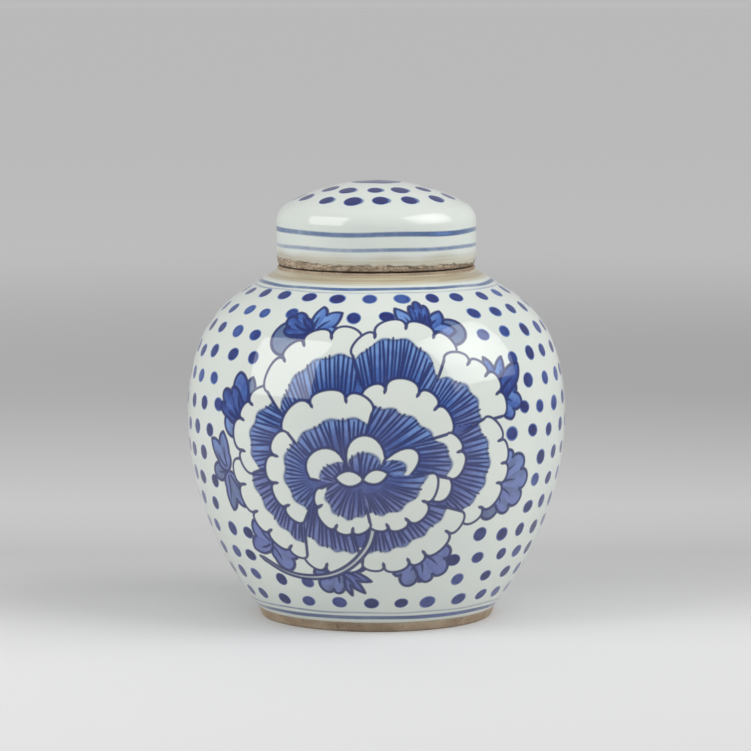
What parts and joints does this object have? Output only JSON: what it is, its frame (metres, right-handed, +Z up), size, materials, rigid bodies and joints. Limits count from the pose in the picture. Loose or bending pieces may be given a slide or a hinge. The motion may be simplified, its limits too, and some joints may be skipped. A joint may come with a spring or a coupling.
{
  "type": "ginger jar",
  "caption": "Round-bellied porcelain jar with a short neck and a deep domed lift-off lid, painted in blue with a large peony, leaf sprays and dots.",
  "frame": {"origin": "middle of the foot ring, on the surface the jar stands on", "axes": "+Z up along the axis the jar was turned on; the painted peony faces -Y"},
  "size_m": [0.1788, 0.1788, 0.206],
  "materials": {
    "jar_porcelain": "glossy bluish-white glaze over cobalt painting; the shoulder band under the lid and the foot ring are bare buff clay",
    "lid_porcelain": "glossy bluish-white glaze over cobalt painting; the rim is bare, gritty buff clay"
  },
  "bodies": {
    "jar": {"jar": "jar_porcelain"},
    "lid": {"lid": "lid_porcelain"}
  },
  "joints": [
    {"name": "lid_lift", "type": "slide", "parent": "jar", "child": "lid", "axis": [0, 0, 1], "range_m": [0, 0.1]}
  ]
}
